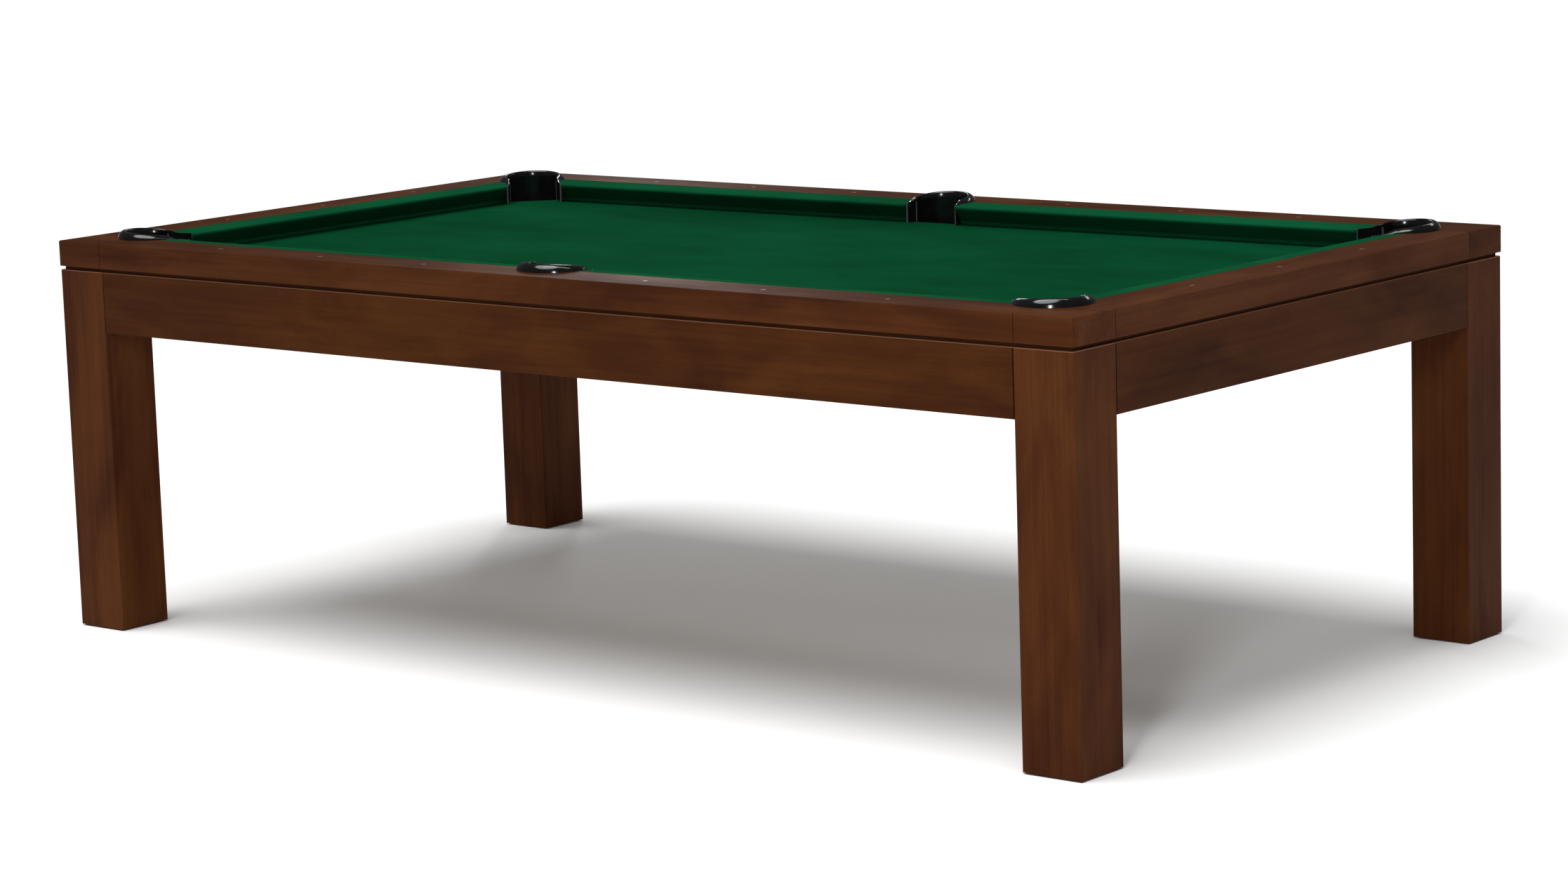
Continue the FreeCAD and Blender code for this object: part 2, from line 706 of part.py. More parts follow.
def bucket_outline():
    """Section of a ball bucket: a cup with a bevelled foot and a flange under the slate."""
    low = dim["bucket_bottom"]
    wall = dim["bucket_wall"]
    outer = dim["hole_radius"]
    r = dim["bucket_round"]
    rim_low = slate_bottom - dim["bucket_rim_thick"]
    return [(ZERO, low), (outer - r, low), (outer, low + r), (outer, rim_low), (dim["bucket_rim"], rim_low),
            (dim["bucket_rim"], slate_bottom), (outer - wall, slate_bottom), (outer - wall, low + r + wall * 0.4),
            (outer - r - wall * 0.4, low + wall), (ZERO, low + wall)]


def collar_cheeks(pocket):
    """The collar's two straight cheeks, which line the cushion ends from the round part to near the noses."""
    near = -pocket.set_back + dim["cheek_short"]
    far = -pocket.join + 2
    wall = dim["hole_radius"] - dim["liner_radius"]
    cheeks = []
    for sign in (-1, 1):
        outline = [(near, sign * pocket.facing(near)), (far, sign * pocket.facing(far)),
                   (far, sign * (pocket.facing(far) - wall)), (near, sign * (pocket.facing(near) - wall))]
        cheeks.append(pocket.place(padded("XY_Plane", outline, dim["cheek_height"], bed_top)))
    return cheeks


def make_pocket(name, pocket):
    ring = pocket.place(turned(collar_outline(), pocket.arc))
    node(f"pocket_collar_{name}", fuse([ring] + collar_cheeks(pocket)))
    node(f"pocket_bucket_{name}", pocket.place(turned(bucket_outline(), Size("360"))))


# ---------------------------------------------------------------- levelling feet
def make_foot(name, sx, sy):
    """A levelling foot: a pad with a socket, and the threaded stem that stands in it."""
    x, y = leg_middle(sx, sy)
    pad = fuse([
        rod(dim["foot_radius"], x, y, (ZERO, dim["foot_thick"])),
        rod(dim["foot_boss"], x, y, (dim["foot_thick"] - 1, dim["foot_boss_top"])),
    ])
    socket = rod(dim["stem_radius"], x, y, (dim["foot_thick"], dim["foot_boss_top"] + 1))
    stem = rod(dim["stem_radius"], x, y, (dim["foot_thick"], dim["stem_top"]))
    node(f"leveler_{name}", group([cut(pad, [socket]), stem]))


def make_inserts():
    """The flanged nuts pressed into the legs, which the stems screw through."""
    nuts = []
    for sx, sy in CORNERS.values():
        x, y = leg_middle(sx, sy)
        top = dim["recess_top"]
        nut = fuse([
            rod(dim["insert_radius"], x, y, (top, dim["insert_top"])),
            rod(dim["insert_flange"], x, y, (top - dim["insert_flange_thick"], top)),
        ])
        bore = rod(dim["stem_radius"] + dim["running_gap"], x, y, (ZERO, dim["insert_top"] + 1))
        nuts.append(cut(nut, [bore]))
    node("leveler_inserts", group(nuts))


# ---------------------------------------------------------------- build, check and export
make_cabinet()
pockets = make_pocket_frames()
pocket_round = {name: pocket.hole() for name, pocket in pockets.items()}
pocket_jaws = {name: pocket.jaw() for name, pocket in pockets.items()}
make_supports()
bolts_through = make_slates([pocket.slate_cut(pocket_round[name]) for name, pocket in pockets.items()])
make_rails(pocket_round, pocket_jaws, bolts_through)
for corner, (side_x, side_y_sign) in CORNERS.items():
    make_corner_block(corner, side_x, side_y_sign, pocket_round[corner], pocket_jaws[corner])
    make_foot(corner, side_x, side_y_sign)
for name, pocket in pockets.items():
    make_pocket(name, pocket)
make_inserts()
doc.recompute()

for item in doc.Objects:
    if "Invalid" in item.State or "Error" in item.State:
        raise RuntimeError(f"{item.Name} ({item.Label}) did not build: {item.State}")
os.makedirs("parts", exist_ok=True)
for name, feature in made.items():
    shape = feature.Shape
    if shape.isNull() or not shape.isValid() or not shape.Solids:
        raise RuntimeError(f"{name} has no valid solid")
    shape.exportStep(f"parts/{name}.step")
    print(name, len(shape.Solids), "solid(s)", round(shape.Volume / 1e6, 3), "litres")
print(len(made), "sub-parts")
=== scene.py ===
# %% [markdown]
# # A slate pool table
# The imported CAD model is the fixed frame: every visible piece sits where the CAD says. Hard pieces whose
# shape is already right, such as legs, aprons and rails, keep their CAD mesh and get a real finish here.
# Pieces with curves that matter to the eye, the cloth and the pocket mouldings, are made again as surfaces.

# %% Load the frame
import math

import bmesh
import bpy
import numpy as np
from mathutils import Matrix, Vector


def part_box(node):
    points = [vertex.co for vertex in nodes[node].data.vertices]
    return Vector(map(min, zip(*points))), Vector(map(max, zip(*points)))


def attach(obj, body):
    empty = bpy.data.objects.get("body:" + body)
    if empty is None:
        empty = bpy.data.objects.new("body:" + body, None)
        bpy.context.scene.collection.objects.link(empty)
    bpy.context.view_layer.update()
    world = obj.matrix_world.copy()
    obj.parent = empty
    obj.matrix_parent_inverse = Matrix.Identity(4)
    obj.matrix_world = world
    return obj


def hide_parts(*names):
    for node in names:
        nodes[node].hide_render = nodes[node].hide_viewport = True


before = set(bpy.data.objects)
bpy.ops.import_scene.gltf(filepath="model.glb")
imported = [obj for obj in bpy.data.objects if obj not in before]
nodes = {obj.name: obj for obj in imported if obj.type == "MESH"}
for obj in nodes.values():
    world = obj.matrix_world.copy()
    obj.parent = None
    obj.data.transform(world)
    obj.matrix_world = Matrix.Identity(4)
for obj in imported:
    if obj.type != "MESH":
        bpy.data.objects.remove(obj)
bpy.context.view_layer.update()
print("pieces in the frame:", len(nodes))

# %% [markdown]
# Lengths are in metres. The table is the same about both middle planes, so one set of sizes does for all
# four quarters. The outer size is read from the frame; the rest are the rail's own section, measured in
# from its outer face, and the pockets' own plan.

# %% Sizes
MM = 0.001
HALF_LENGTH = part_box("corner_block_front_right")[1][0]
HALF_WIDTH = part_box("corner_block_rear_right")[1][1]
RAIL_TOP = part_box("rail_right")[1][2]
BED_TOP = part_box("bed_cloth")[1][2]
CABINET_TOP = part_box("leg_front_left")[1][2]
SLATE_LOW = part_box("slate_centre")[0][2]
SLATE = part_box("bed_cloth")[1]  # half the slates' length and width
RAIL_WIDTH = 150 * MM  # outer face to cushion nose
WOOD_TOP = 98 * MM  # how far the wood's top runs in, to the groove of the feather strip
STRIP = 2 * MM  # width of the feather strip
RUBBER_BACK = 120 * MM
BLOCK = 125 * MM  # side of a corner block
LEG_INNER = 128 * MM  # inner face of a leg, in from the rail's outer face
CLOTH = 0.8 * MM  # thickness
HOLE = 60 * MM  # radius of a pocket's round hole, and of the clear space in its liner
LINER = 56.5 * MM
NOSE_LINE = np.array([HALF_LENGTH, HALF_WIDTH]) - RAIL_WIDTH
CORNER_OFFSET = 11.5 * MM  # pocket centres lie outside the nose lines
SIDE_OFFSET = 37 * MM
CORNER_POCKET = NOSE_LINE + CORNER_OFFSET
SIDE_POCKET = NOSE_LINE[1] + SIDE_OFFSET
CORNER_JOIN = 24 * MM  # where a facing meets the round hole, from the pocket's centre towards the bed
SIDE_JOIN = 8 * MM
CHEEK_SHORT = 3.5 * MM  # a moulding's cheeks stop this far behind the nose line
CORNER_SET_BACK = 124 * MM / math.sqrt(2)  # nose line's end, back from where the nose lines would meet
CORNER_FACING = math.radians(38)
SIDE_HALF_MOUTH = 66.5 * MM
SIDE_FACING = math.radians(14)
print("outer size", 2 * HALF_LENGTH, 2 * HALF_WIDTH, RAIL_TOP)

# %% [markdown]
# Blender's mesh comes from arrays: a grid of points worked out all at once, and the quads between them.
# A closed section carried along a path needs its two ends shut, so that light can't fall inside and the
# mesh is a solid. Modifiers could make the same shapes, but a formula keeps every seam where
# the CAD has it.


# %% Surfaces from grids
def surface(name, grid, around=False, ends=False, sharp=35, body="table"):
    """A mesh through grid[i, j]: i runs along the piece and j round its section.

    around joins the last j to the first, and ends shuts both ends with strips across the section.
    """
    rows, columns, _ = grid.shape
    index = np.arange(rows * columns).reshape(rows, columns)
    across = np.concatenate([index, index[:, :1]], axis=1) if around else index
    quads = np.stack([across[:-1, :-1], across[:-1, 1:], across[1:, 1:], across[1:, :-1]], axis=-1).reshape(-1, 4)
    if ends:
        j = np.arange(columns // 2 - 1)
        for row in (0, -1):
            strip = np.stack([index[row, j], index[row, j + 1], index[row, -2 - j], index[row, -1 - j]], axis=-1)
            quads = np.concatenate([quads, strip])
    mesh = bpy.data.meshes.new(name)
    mesh.from_pydata(grid.reshape(-1, 3).tolist(), [], quads.tolist())
    return finished(name, mesh, sharp, body)


def finished(name, mesh, sharp, body):
    """Merges doubled points, turns every face outwards, smooths all but sharp edges and rides a body.

    An edge is sharp when its two faces meet at more than `sharp` degrees.
    """
    shell = bmesh.new()
    shell.from_mesh(mesh)
    bmesh.ops.remove_doubles(shell, verts=shell.verts, dist=1e-6)
    bmesh.ops.dissolve_degenerate(shell, edges=shell.edges, dist=1e-7)
    bmesh.ops.recalc_face_normals(shell, faces=shell.faces)
    shell.to_mesh(mesh)
    shell.free()
    mesh.polygons.foreach_set("use_smooth", np.ones(len(mesh.polygons), bool))
    mesh.set_sharp_from_angle(angle=math.radians(sharp))
    piece = bpy.data.objects.new(name, mesh)
    bpy.context.scene.collection.objects.link(piece)
    if body:
        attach(piece, body)
    return piece


ARC_POINTS = 5  # points on each rounded corner of a section


def rounded(corners, radii):
    """A section's corners, each replaced by a quadratic curve from one side to the next.

    The curve starts a radius before the corner and ends a radius after it, and the corner is its control
    point: (1 - t) squared * start + 2 t (1 - t) * corner + t squared * end.
    """
    corners = np.asarray(corners, float)
    before = np.roll(corners, 1, axis=0) - corners
    after = np.roll(corners, -1, axis=0) - corners
    t = np.linspace(0, 1, ARC_POINTS)[None, :, None]
    reach = np.asarray(radii, float)[:, None]
    start = corners + before / np.linalg.norm(before, axis=1, keepdims=True) * reach
    end = corners + after / np.linalg.norm(after, axis=1, keepdims=True) * reach
    curve = (1 - t) ** 2 * start[:, None] + 2 * t * (1 - t) * corners[:, None] + t ** 2 * end[:, None]
    return curve.reshape(-1, 2)


print("points on a rounded square:", len(rounded([(0, 0), (1, 0), (1, 1), (0, 1)], [0.1] * 4)))

# %% [markdown]
# Every colour below is written as it looks on a screen, in sRGB hex. Shaders work in linear light, so one
# function turns it. One more adds a node with its settings and links, which keeps a material readable.


# %% Material helpers
def linear(hex_colour):
    """sRGB hex to linear RGBA: c / 12.92 below 0.04045, and ((c + 0.055) / 1.055) ** 2.4 above."""
    srgb = np.array([int(hex_colour[i:i + 2], 16) for i in (1, 3, 5)]) / 255
    value = np.where(srgb <= 0.04045, srgb / 12.92, ((srgb + 0.055) / 1.055) ** 2.4)
    return (*value.tolist(), 1.0)


def add(tree, kind, inputs=None, **settings):
    """Adds a node. inputs maps a socket's name or number to a value, or to the socket that feeds it."""
    made = tree.nodes.new(kind)
    for key, value in settings.items():
        setattr(made, key, value)
    for key, value in (inputs or {}).items():
        socket = made.inputs[key]
        if isinstance(value, bpy.types.NodeSocket):
            tree.links.new(value, socket)
        else:
            socket.default_value = value
    return made


def ramp(tree, factor, *stops):
    """A colour ramp fed by factor; each stop is (position, sRGB hex)."""
    made = add(tree, "ShaderNodeValToRGB", {0: factor})
    elements = made.color_ramp.elements
    while len(elements) < len(stops):
        elements.new(0.5)
    for element, (position, colour) in zip(elements, stops):
        element.position = position
        element.color = linear(colour)
    return made.outputs["Color"]


def new_material(name, **constants):
    """An empty material with one Principled shader, whose unchanging values are set on its own sockets."""
    material = bpy.data.materials.new(name)
    material.use_nodes = True
    tree = material.node_tree
    tree.nodes.clear()
    shader = add(tree, "ShaderNodeBsdfPrincipled")
    add(tree, "ShaderNodeOutputMaterial", {"Surface": shader.outputs[0]})
    for key, value in constants.items():
        shader.inputs[key.replace("_", " ")].default_value = value
    return material, tree, shader


def scaled(tree, across, along, axis):
    """Object coordinates in pattern units: one unit every `across` metres, and every `along` on one axis."""
    place = add(tree, "ShaderNodeTexCoord").outputs["Object"]
    size = [1 / across] * 3
    size["XYZ".index(axis)] = 1 / along
    return add(tree, "ShaderNodeMapping", {"Vector": place, "Scale": size}).outputs[0]


def bump(tree, height, strength, distance):
    """A normal from a height pattern; distance is the relief in metres."""
    return add(tree, "ShaderNodeBump", {"Height": height, "Strength": strength, "Distance": distance}).outputs[0]


print("middle grey in linear light:", round(linear("#808080")[0], 3))

# %% [markdown]
# The wood is a fine-pored hardwood, sanded, stained dark brown and lacquered satin. Stain sinks in
# unevenly, so there are cloudy light and dark patches a hand wide; the grain shows as faint streaks along
# each board, and short dark pores. The lacquer fills most of the pores and gives soft, broad reflections.
# A dark line is painted where two boards meet, as painted shade for the seam between them, and a paler line
# along the eased top edge of the cabinet is a painted highlight. A thin gap or a bevel could show these too, but
# lines in the colour leave the CAD mesh alone.


# %% Painted seam shade and edge highlight
SEAM_SHADE_COLOUR = "#0c0603"
EDGE_HIGHLIGHT_COLOUR = "#8a6046"


def painted_seam_shade(tree, x, y):
    """Painted seam shade: 0.85 within a millimetre of the planes where |x| or |y| has its given value, and 0 past
    two.
    """
    place = add(tree, "ShaderNodeSeparateXYZ", {0: add(tree, "ShaderNodeTexCoord").outputs["Object"]}).outputs
    away = []
    for socket, plane in ((place[0], x), (place[1], y)):
        size = add(tree, "ShaderNodeMath", {0: socket}, operation="ABSOLUTE").outputs[0]
        step = add(tree, "ShaderNodeMath", {0: size, 1: plane}, operation="SUBTRACT").outputs[0]
        away.append(add(tree, "ShaderNodeMath", {0: step}, operation="ABSOLUTE").outputs[0])
    nearest = add(tree, "ShaderNodeMath", {0: away[0], 1: away[1]}, operation="MINIMUM").outputs[0]
    return add(tree, "ShaderNodeMapRange", {0: nearest, 1: 1.0 * MM, 2: 2.0 * MM, 3: 0.85, 4: 0.0}).outputs[0]


def painted_edge_highlight(tree, top):
    """Painted highlight on the top edge: 0.75 within a millimetre under the height top, and 0 below."""
    place = add(tree, "ShaderNodeSeparateXYZ", {0: add(tree, "ShaderNodeTexCoord").outputs["Object"]}).outputs
    return add(tree, "ShaderNodeMapRange", {0: place[2], 1: top - 1.6 * MM, 2: top - 0.8 * MM,
                                            3: 0.0, 4: 0.75}).outputs[0]


def laid_over(tree, colour, share, stain):
    """A colour with another laid over it (the pores' stain, the painted seam shade and the painted edge
    highlight): (1 - share) * colour + share * stain.
    """
    return add(tree, "ShaderNodeMix", {"Factor": share, 6: colour, 7: linear(stain)}, data_type="RGBA").outputs[2]


print("cabinet top at", round(CABINET_TOP, 4), "m")

# %% [markdown]
# The wood itself is three sizes of noise, all stretched along the grain: clouds and streaks are added up
# and looked up in a ramp of three stains, and the pores darken it in specks. One function makes it for
# each direction that a board can run, and for lighter or darker stain, so no two boards can drift apart.


# %% Stained wood
def stained_wood(name, axis, dark, middle, light, joint=None, edge=None):
    """Satin-lacquered, stained hardwood with its grain along one axis.

    joint is a pair of planes x, y with a painted dark line for the shade in the seam, and edge the height of a top
    edge with a painted highlight.
    """
    material, tree, shader = new_material(name, Specular_IOR_Level=0.025, IOR=1.5)
    clouds = add(tree, "ShaderNodeTexNoise", {"Vector": scaled(tree, 110 * MM, 340 * MM, axis), "Scale": 1.0,
                                              "Detail": 3.0, "Roughness": 0.55, "Distortion": 0.5}).outputs[0]
    streaks = add(tree, "ShaderNodeTexNoise", {"Vector": scaled(tree, 9 * MM, 450 * MM, axis), "Scale": 1.0,
                                               "Detail": 5.0, "Roughness": 0.62, "Distortion": 0.35}).outputs[0]
    # real pores are about 0.1 mm by 3 mm; drawn 1.2 mm by 20 mm so that they show
    pores = add(tree, "ShaderNodeTexNoise", {"Vector": scaled(tree, 1.2 * MM, 20 * MM, axis), "Scale": 1.0,
                                             "Detail": 2.0, "Roughness": 0.5}).outputs[0]
    mixed = add(tree, "ShaderNodeMath", {0: clouds, 1: 0.68}, operation="MULTIPLY").outputs[0]
    figure = add(tree, "ShaderNodeMath", {0: streaks, 1: 0.32, 2: mixed}, operation="MULTIPLY_ADD").outputs[0]
    stain = ramp(tree, figure, (0.36, dark), (0.50, middle), (0.66, light))
    specks = add(tree, "ShaderNodeMapRange", {0: pores, 1: 0.60, 2: 0.72, 3: 0.0, 4: 0.6}).outputs[0]
    colour = laid_over(tree, stain, specks, dark)
    # a painted dark line for the shade in each seam between boards
    if joint:
        colour = laid_over(tree, colour, painted_seam_shade(tree, *joint), SEAM_SHADE_COLOUR)
    # a painted highlight along the cabinet's eased top edge
    if edge:
        colour = laid_over(tree, colour, painted_edge_highlight(tree, edge), EDGE_HIGHLIGHT_COLOUR)
    tree.links.new(colour, shader.inputs["Base Color"])
    gloss = add(tree, "ShaderNodeMapRange", {0: figure, 1: 0.3, 2: 0.7, 3: 0.52, 4: 0.40}).outputs[0]
    tree.links.new(gloss, shader.inputs["Roughness"])
    tree.links.new(bump(tree, pores, 0.10, 0.2 * MM), shader.inputs["Normal"])
    return material


# each stain is its dark, middle and light sRGB value
STAIN = ("#31170a", "#3d1f0c", "#49280f")
RAIL_STAIN = ("#351a0b", "#42220f", "#4f2c15")
LEG_STAIN = ("#381b0c", "#452411", "#522e15")
# planes of the seams that get a painted shade line
leg_joint = (HALF_LENGTH - LEG_INNER, HALF_WIDTH - LEG_INNER)
block_joint = (HALF_LENGTH - BLOCK, HALF_WIDTH - BLOCK)
leg_wood = stained_wood("stained_leg_wood_Z", "Z", *LEG_STAIN, edge=CABINET_TOP)
apron_wood = {axis: stained_wood(f"stained_apron_wood_{axis}", axis, *STAIN, joint=leg_joint, edge=CABINET_TOP)
              for axis in "XY"}
rail_wood = {axis: stained_wood(f"stained_rail_wood_{axis}", axis, *RAIL_STAIN) for axis in "XY"}
block_wood = stained_wood("stained_block_wood_X", "X", *RAIL_STAIN, joint=block_joint)
print("woods:", [material.name for material in bpy.data.materials if "wood" in material.name])

# %% [markdown]
# The cloth is a tightly woven, napped worsted wool, dyed dark green. Its threads are 0.4 mm apart, too
# fine to see from a few steps away, so the eye gets a matt surface with a faint soft sheen at low angles
# and slight cloudiness where the nap lies one way or the other. A ready-made weave could be wrapped
# round, but two crossed waves and two sizes of noise have no seams and look the same on every piece.


# %% Worsted cloth
def worsted(name, dark, middle, light, spacing):
    """Woven wool: two crossed wave patterns give the threads, and slow noise the lie of the nap.

    A wave repeats every 2 pi / 20 of its own unit, so its scale is 2 pi / (20 * spacing).
    """
    material, tree, shader = new_material(name, Roughness=0.95, Sheen_Weight=0.002, Sheen_Roughness=0.6,
                                          Specular_IOR_Level=0.005, IOR=1.45)
    shader.inputs["Sheen Tint"].default_value = linear("#3f8f66")
    nap = add(tree, "ShaderNodeTexNoise", {"Vector": scaled(tree, 220 * MM, 400 * MM, "X"), "Scale": 1.0,
                                           "Detail": 4.0, "Roughness": 0.6}).outputs[0]
    fuzz = add(tree, "ShaderNodeTexNoise", {"Vector": scaled(tree, 2.5 * MM, 2.5 * MM, "X"), "Scale": 1.0,
                                            "Detail": 2.0}).outputs[0]
    blend = add(tree, "ShaderNodeMath", {0: fuzz, 1: 0.25, 2: nap}, operation="MULTIPLY_ADD").outputs[0]
    tree.links.new(ramp(tree, blend, (0.45, dark), (0.62, middle), (0.82, light)), shader.inputs["Base Color"])
    place = scaled(tree, 1.0, 1.0, "X")
    repeat = 2 * math.pi / (20 * spacing)
    weave = [add(tree, "ShaderNodeTexWave", {"Vector": place, "Scale": repeat, "Distortion": 0.4},
                 bands_direction=direction).outputs[1] for direction in "XY"]
    cross = add(tree, "ShaderNodeMath", {0: weave[0], 1: weave[1]}, operation="MULTIPLY").outputs[0]
    relief = add(tree, "ShaderNodeMath", {0: fuzz, 1: 0.6, 2: cross}, operation="MULTIPLY_ADD").outputs[0]
    tree.links.new(bump(tree, relief, 0.18, 0.2 * MM), shader.inputs["Normal"])
    return material


# the real threads are 0.4 mm apart, far too fine to show; the ribs drawn here stand for many threads
# each, and are so shallow that they only break the light up
RIBS = 2 * math.pi * 1.2 * MM
bed_cloth_material = worsted("worsted_bed_cloth", "#04331b", "#043a20", "#064026", RIBS)
rail_cloth_material = worsted("worsted_rail_cloth", "#073b22", "#084327", "#0a4a2c", RIBS)
print("ribs of the cloth:", round(RIBS / MM, 1), "mm apart")

# %% [markdown]
# The pocket mouldings are injection-moulded black plastic with a high polish: a sharp reflection of the
# lights on a near-black body. The mould leaves a very slight waviness, which breaks the reflections up.
# The other finishes, most of them hidden, differ only in colour, grain and gloss, so one function makes
# them all: honed slate, sawn softwood, gum rubber, bright zinc plate and matt black buckets.


# %% Plastics, metals and the hidden materials
def polished_plastic(name, colour, roughness, wave):
    """Moulded plastic: an even colour, a clear gloss and the mould's slight waviness."""
    material, tree, shader = new_material(name, Roughness=roughness, IOR=1.5)
    mottled = add(tree, "ShaderNodeTexNoise", {"Vector": scaled(tree, 20 * MM, 20 * MM, "X"), "Scale": 1.0,
                                               "Detail": 3.0})
    tree.links.new(ramp(tree, mottled.outputs[0], (0.3, colour[0]), (0.7, colour[1])), shader.inputs["Base Color"])
    tree.links.new(bump(tree, mottled.outputs[0], wave, 0.6 * MM), shader.inputs["Normal"])
    return material


def grained(name, colours, across, along, axis, roughness, relief, **constants):
    """A matt or metal surface with one streaked or speckled pattern in its colour and relief."""
    material, tree, shader = new_material(name, Roughness=roughness, **constants)
    pattern = add(tree, "ShaderNodeTexNoise", {"Vector": scaled(tree, across, along, axis), "Scale": 1.0,
                                               "Detail": 6.0, "Roughness": 0.6}).outputs[0]
    tree.links.new(ramp(tree, pattern, (0.35, colours[0]), (0.65, colours[1])), shader.inputs["Base Color"])
    tree.links.new(bump(tree, pattern, 0.3, relief), shader.inputs["Normal"])
    return material


# near black, with sharp highlights
moulding_black = polished_plastic("moulded_black_gloss", ("#090909", "#101011"), 0.14, 0.04)
# the same plastic in a paler grey, a thin line down each upright edge: partly its wear, and partly a painted
# highlight on the rounded edge
edge_wear_and_highlight = polished_plastic("moulded_edge_gloss", ("#3c3c3e", "#4a4a4c"), 0.3, 0.1)
# matt, so that a pocket stays a dark hole
bucket_black = grained("moulded_black_matt", ("#101010", "#1a1a1a"), 1.5 * MM, 1.5 * MM, "X", 0.6, 0.2 * MM)
# a small tan dot, a little glossier than the wood round it
sight_inlay = grained("turned_tan_inlay", ("#6b4a38", "#785642"), 4 * MM, 4 * MM, "X", 0.35, 0.1 * MM)
# dull blue-grey stone with faint bedding
slate_stone = grained("honed_slate", ("#3d4246", "#565c60"), 12 * MM, 50 * MM, "X", 0.7, 0.3 * MM)
# pale yellow wood with wide streaks
sawn_softwood = grained("sawn_softwood_X", ("#a88658", "#c7a877"), 6 * MM, 250 * MM, "X", 0.75, 0.4 * MM)
# dark, dull wood: the line under the rails looks like a shadow
reveal_wood = grained("dark_stained_wood_X", ("#331b0e", "#3f2313"), 4 * MM, 100 * MM, "X", 0.7, 0.2 * MM,
                      Specular_IOR_Level=0.03)
# tan and dull
gum_rubber = grained("gum_rubber", ("#8a6a47", "#a17f58"), 3 * MM, 3 * MM, "X", 0.7, 0.2 * MM)
# cool grey metal with blurred reflections
zinc_plate = grained("bright_zinc_plate", ("#a6a8aa", "#c3c5c6"), 3 * MM, 3 * MM, "X", 0.34, 0.05 * MM,
                     Metallic=1.0)
print("materials:", len(bpy.data.materials))

# %% [markdown]
# A CAD node keeps its mesh, so its finish goes into the object's material slots. Each board's grain runs
# along its length: X for the long rails and aprons, Y for the end ones, Z for the legs.

# %% Finishes of the CAD pieces
FINISH = {
    "leg_": leg_wood,
    "side_front_apron": apron_wood["X"],
    "side_rear_apron": apron_wood["X"],
    "end_": apron_wood["Y"],
    "rail_front": rail_wood["X"],
    "rail_rear": rail_wood["X"],
    "rail_left": rail_wood["Y"],
    "rail_right": rail_wood["Y"],
    "corner_block": block_wood,
    "corner_brackets": zinc_plate,
    "lag_bolts": zinc_plate,
    "slate_screws": zinc_plate,
    "rail_bolts": zinc_plate,
    "leveler_": zinc_plate,
    "reveal_strips": reveal_wood,
    "slate_ledgers": sawn_softwood,
    "slate_beams": sawn_softwood,
    "slate_left": slate_stone,
    "slate_centre": slate_stone,
    "slate_right": slate_stone,
    "cushion_": gum_rubber,
    "sights": sight_inlay,
    "pocket_bucket": bucket_black,
}


def dress(piece, material):
    """Gives a piece one finish in every slot."""
    piece.data.materials.clear()
    piece.data.materials.append(material)


for name, piece in nodes.items():
    match = max((key for key in FINISH if name.startswith(key)), key=len, default=None)
    if match:
        dress(piece, FINISH[match])
    else:
        print("made again below:", name)

# %% [markdown]
# ## Where the pockets cut the rails
# In plan, each rail ends on the round hole of its pocket, and its cushion on a straight facing. For a
# line of the rail at depth d in from the outer face, the end is wherever the hole or the facing comes
# first, so one formula shapes cloth and strips alike. Cutting the cloth with a boolean would give the
# same outline, but leave long thin faces along the cut.

# %% Ends of a line along a rail
FACING_SKIN = 1.0 * MM  # the cover's cloth over the rubber's cut end


def chord(depth, centre):
    """Half the width of a pocket's hole at a depth: the square root of r squared less (depth - centre) squared."""
    return np.sqrt(np.clip(HOLE ** 2 - (depth - centre) ** 2, 0, None))


def corner_end(depth, half, pocket, skin=0.0):
    """How far from the middle of its side a line runs before its corner pocket.

    It is the smaller of the hole's edge and the facing, which slants back by (width - depth) / tan(facing).
    """
    centre = RAIL_WIDTH - CORNER_OFFSET
    facing = half - CORNER_SET_BACK + (RAIL_WIDTH - depth) / math.tan(CORNER_FACING) + skin
    return np.minimum(pocket - chord(depth, centre), facing)


def side_end(depth, skin=0.0):
    """How far from the middle a line starts beside a side pocket.

    It is the larger of the hole's edge and the facing, which slants in by (width - depth) * tan(facing).
    """
    centre = RAIL_WIDTH - SIDE_OFFSET
    facing = SIDE_HALF_MOUTH - (RAIL_WIDTH - depth) * math.tan(SIDE_FACING) - skin
    return np.maximum(chord(depth, centre), facing)


# each rail's direction, the side of the table it is on, and the half of that side
RAILS = {
    "front_left": ("x", -1, -1), "front_right": ("x", -1, 1),
    "rear_left": ("x", 1, -1), "rear_right": ("x", 1, 1),
    "left": ("y", -1, 0), "right": ("y", 1, 0),
}


def along_rail(rail, depth, height, rows, skin=0.0):
    """A section (depth, height) carried along a rail between its pockets: a grid of points.

    Each point of the section has its own start and end, so the ends follow the holes and facings.
    """
    direction, outer, half = RAILS[rail]
    t = np.linspace(0, 1, rows)[:, None]
    if direction == "x":
        stop = corner_end(depth, NOSE_LINE[0], CORNER_POCKET[0], skin)
        start = side_end(depth, skin)
        run = half * (start + (stop - start) * t)
        places = [run, outer * (HALF_WIDTH - depth) + 0 * run, height + 0 * run]
    else:
        stop = corner_end(depth, NOSE_LINE[1], CORNER_POCKET[1], skin)
        run = stop * (2 * t - 1)
        places = [outer * (HALF_LENGTH - depth) + 0 * run, run, height + 0 * run]
    return np.stack(places, axis=-1)


print("mouth of a side pocket:", round(2 * float(side_end(RAIL_WIDTH)) / MM, 1), "mm")

# %% [markdown]
# ## Cushion covers
# Real rail cloth is tucked into a groove in the wood, pulled over the rubber's sloping top, round the
# nose and stapled under the rail. It is stretched, so there are no folds: only the roll into the groove,
# the soft round of the nose and a slight fullness at the top. A cloth simulation would add nothing to a
# sheet that is tight everywhere, so the section is drawn and carried along the rail.

